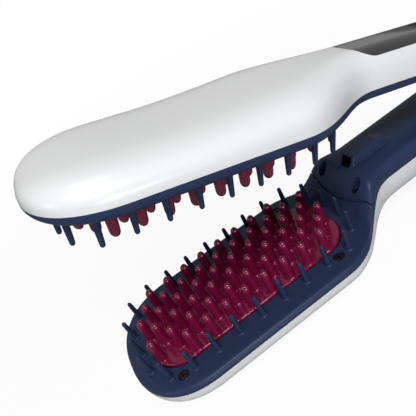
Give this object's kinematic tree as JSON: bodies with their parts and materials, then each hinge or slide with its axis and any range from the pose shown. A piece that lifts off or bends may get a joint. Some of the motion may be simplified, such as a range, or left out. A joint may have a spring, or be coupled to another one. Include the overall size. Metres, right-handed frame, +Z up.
{
  "type": "hair straightening brush",
  "caption": "Two-armed hair straightening brush: each arm has a heated plate of rounded teeth ringed by pins, and the arms fold together on a sprung hinge at the handle's end.",
  "frame": {"origin": "On the flat strip of the lower arm's back, under the middle of its brush plate, where the brush rests on a table.", "axes": "+X runs along the lower arm from the brush head to the hinge, +Y across it, +Z up through the teeth. The arms are open."},
  "size_m": [0.2663, 0.0688, 0.1155],
  "materials": {
    "shell_white": "glossy pearl white moulding",
    "navy": "satin navy moulding",
    "brush_magenta": "glossy magenta coating",
    "black_steel": "black screws",
    "steel": "plain steel",
    "aluminium": "pressed aluminium",
    "heater_body": "wrapped ceramic heater",
    "tray_plastic": "heat resistant moulding",
    "black_plastic": "black moulding",
    "brass": "bare brass",
    "lens_red": "clear red lens",
    "board_green": "circuit board",
    "potting_grey": "potted module",
    "inlay_grey": "glossy dark grey inlay",
    "window_black": "glossy black window",
    "button_grey": "satin grey buttons",
    "rubber_black": "soft rubber",
    "gland_navy": "satin navy gland"
  },
  "bodies": {
    "lower_arm": {"lower_shell": "shell_white", "lower_bezel": "navy", "lower_brush_plate": "brush_magenta", "lower_heat_spreader": "aluminium", "lower_heater": "heater_body", "lower_heater_tray": "tray_plastic", "lower_bezel_screws": "black_steel", "lower_cover": "navy", "lower_cover_screws": "black_steel", "ion_nozzle": "black_plastic", "ion_emitter": "brass", "ion_generator": "potting_grey", "ion_lamp": "lens_red", "power_board": "board_green", "hinge_pin": "steel", "hinge_caps": "black_plastic", "torsion_spring": "steel"},
    "upper_arm": {"upper_shell": "shell_white", "upper_bezel": "navy", "upper_brush_plate": "brush_magenta", "upper_heat_spreader": "aluminium", "upper_heater": "heater_body", "upper_heater_tray": "tray_plastic", "upper_bezel_screws": "black_steel", "upper_cover": "navy", "upper_cover_screws": "black_steel", "handle_inlay": "inlay_grey", "display_window": "window_black", "control_board": "board_green", "button_switches": "steel", "bumpers": "rubber_black"},
    "power_button": {"power_button": "button_grey"},
    "plus_button": {"plus_button": "button_grey"},
    "minus_button": {"minus_button": "button_grey"},
    "cord_gland": {"cord_gland": "gland_navy"}
  },
  "joints": [
    {"name": "arm_hinge", "type": "hinge", "parent": "lower_arm", "child": "upper_arm", "pos_m": [0.1826, 0, 0.0303], "axis": [0, -1, 0], "range_deg": [0, 16.8], "stiffness_Nm_per_rad": 0.45, "springref_deg": -45.84},
    {"name": "power_press", "type": "slide", "parent": "upper_arm", "child": "power_button", "axis": [-0.2899, 0, -0.9571], "range_m": [0, 0.0006], "stiffness_N_per_m": 600, "springref_m": -0.001},
    {"name": "plus_press", "type": "slide", "parent": "upper_arm", "child": "plus_button", "axis": [-0.2899, 0, -0.9571], "range_m": [0, 0.0006], "stiffness_N_per_m": 600, "springref_m": -0.001},
    {"name": "minus_press", "type": "slide", "parent": "upper_arm", "child": "minus_button", "axis": [-0.2899, 0, -0.9571], "range_m": [0, 0.0006], "stiffness_N_per_m": 600, "springref_m": -0.001},
    {"name": "gland_swivel", "type": "hinge", "parent": "lower_arm", "child": "cord_gland", "pos_m": [0.1964, 0, 0.0125], "axis": [1, 0, 0], "continuous": true}
  ]
}
